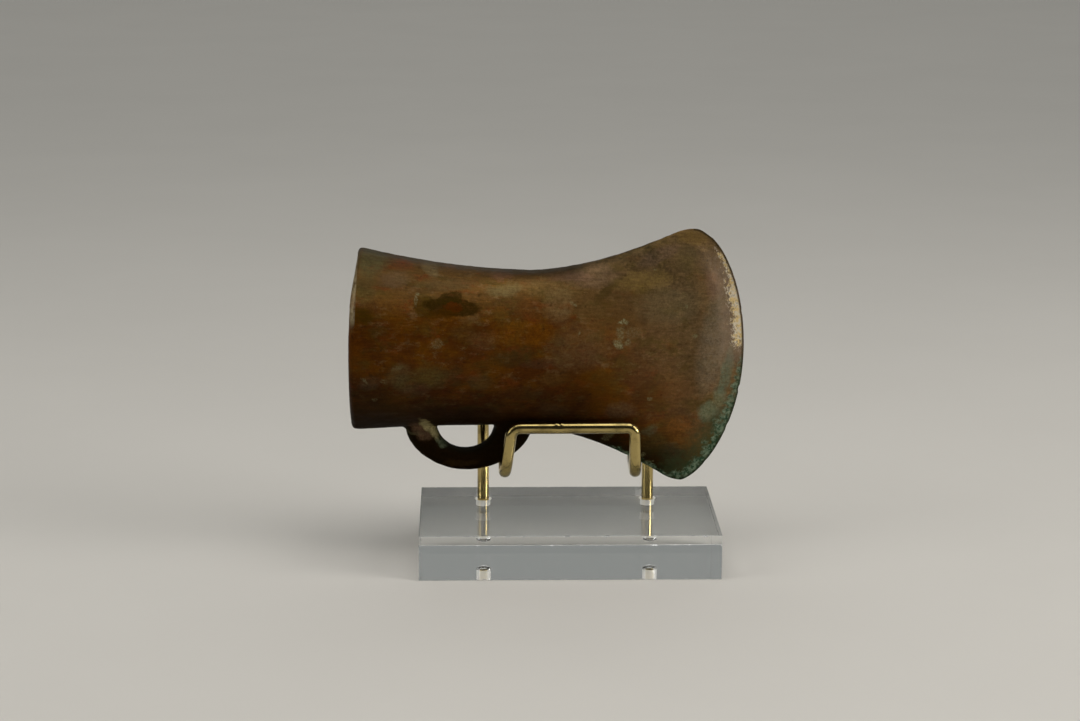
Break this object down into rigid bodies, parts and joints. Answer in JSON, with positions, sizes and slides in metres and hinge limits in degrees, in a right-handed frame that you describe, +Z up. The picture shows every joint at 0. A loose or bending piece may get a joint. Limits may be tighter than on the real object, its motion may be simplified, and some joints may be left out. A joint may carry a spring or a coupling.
{
  "type": "looped socketed axe on stand",
  "caption": "Cast bronze axe head with an oval socket, a side loop and a flared blade, resting in a bent brass wire cradle on a clear block.",
  "frame": {"origin": "below the middle of the whole object, on the ground that the clear block stands on", "axes": "+Z up, +X from the socket's mouth to the cutting edge, +Y from the wire bar that shows to the frame behind the axe"},
  "size_m": [0.1058, 0.05, 0.0898],
  "materials": {
    "bronze": "dull brown patina with green patches",
    "brass": "polished",
    "acrylic": "clear, polished"
  },
  "bodies": {
    "root": {"socketed_axe": "bronze", "brass_cradle": "brass", "acrylic_base": "acrylic"}
  },
  "joints": []
}
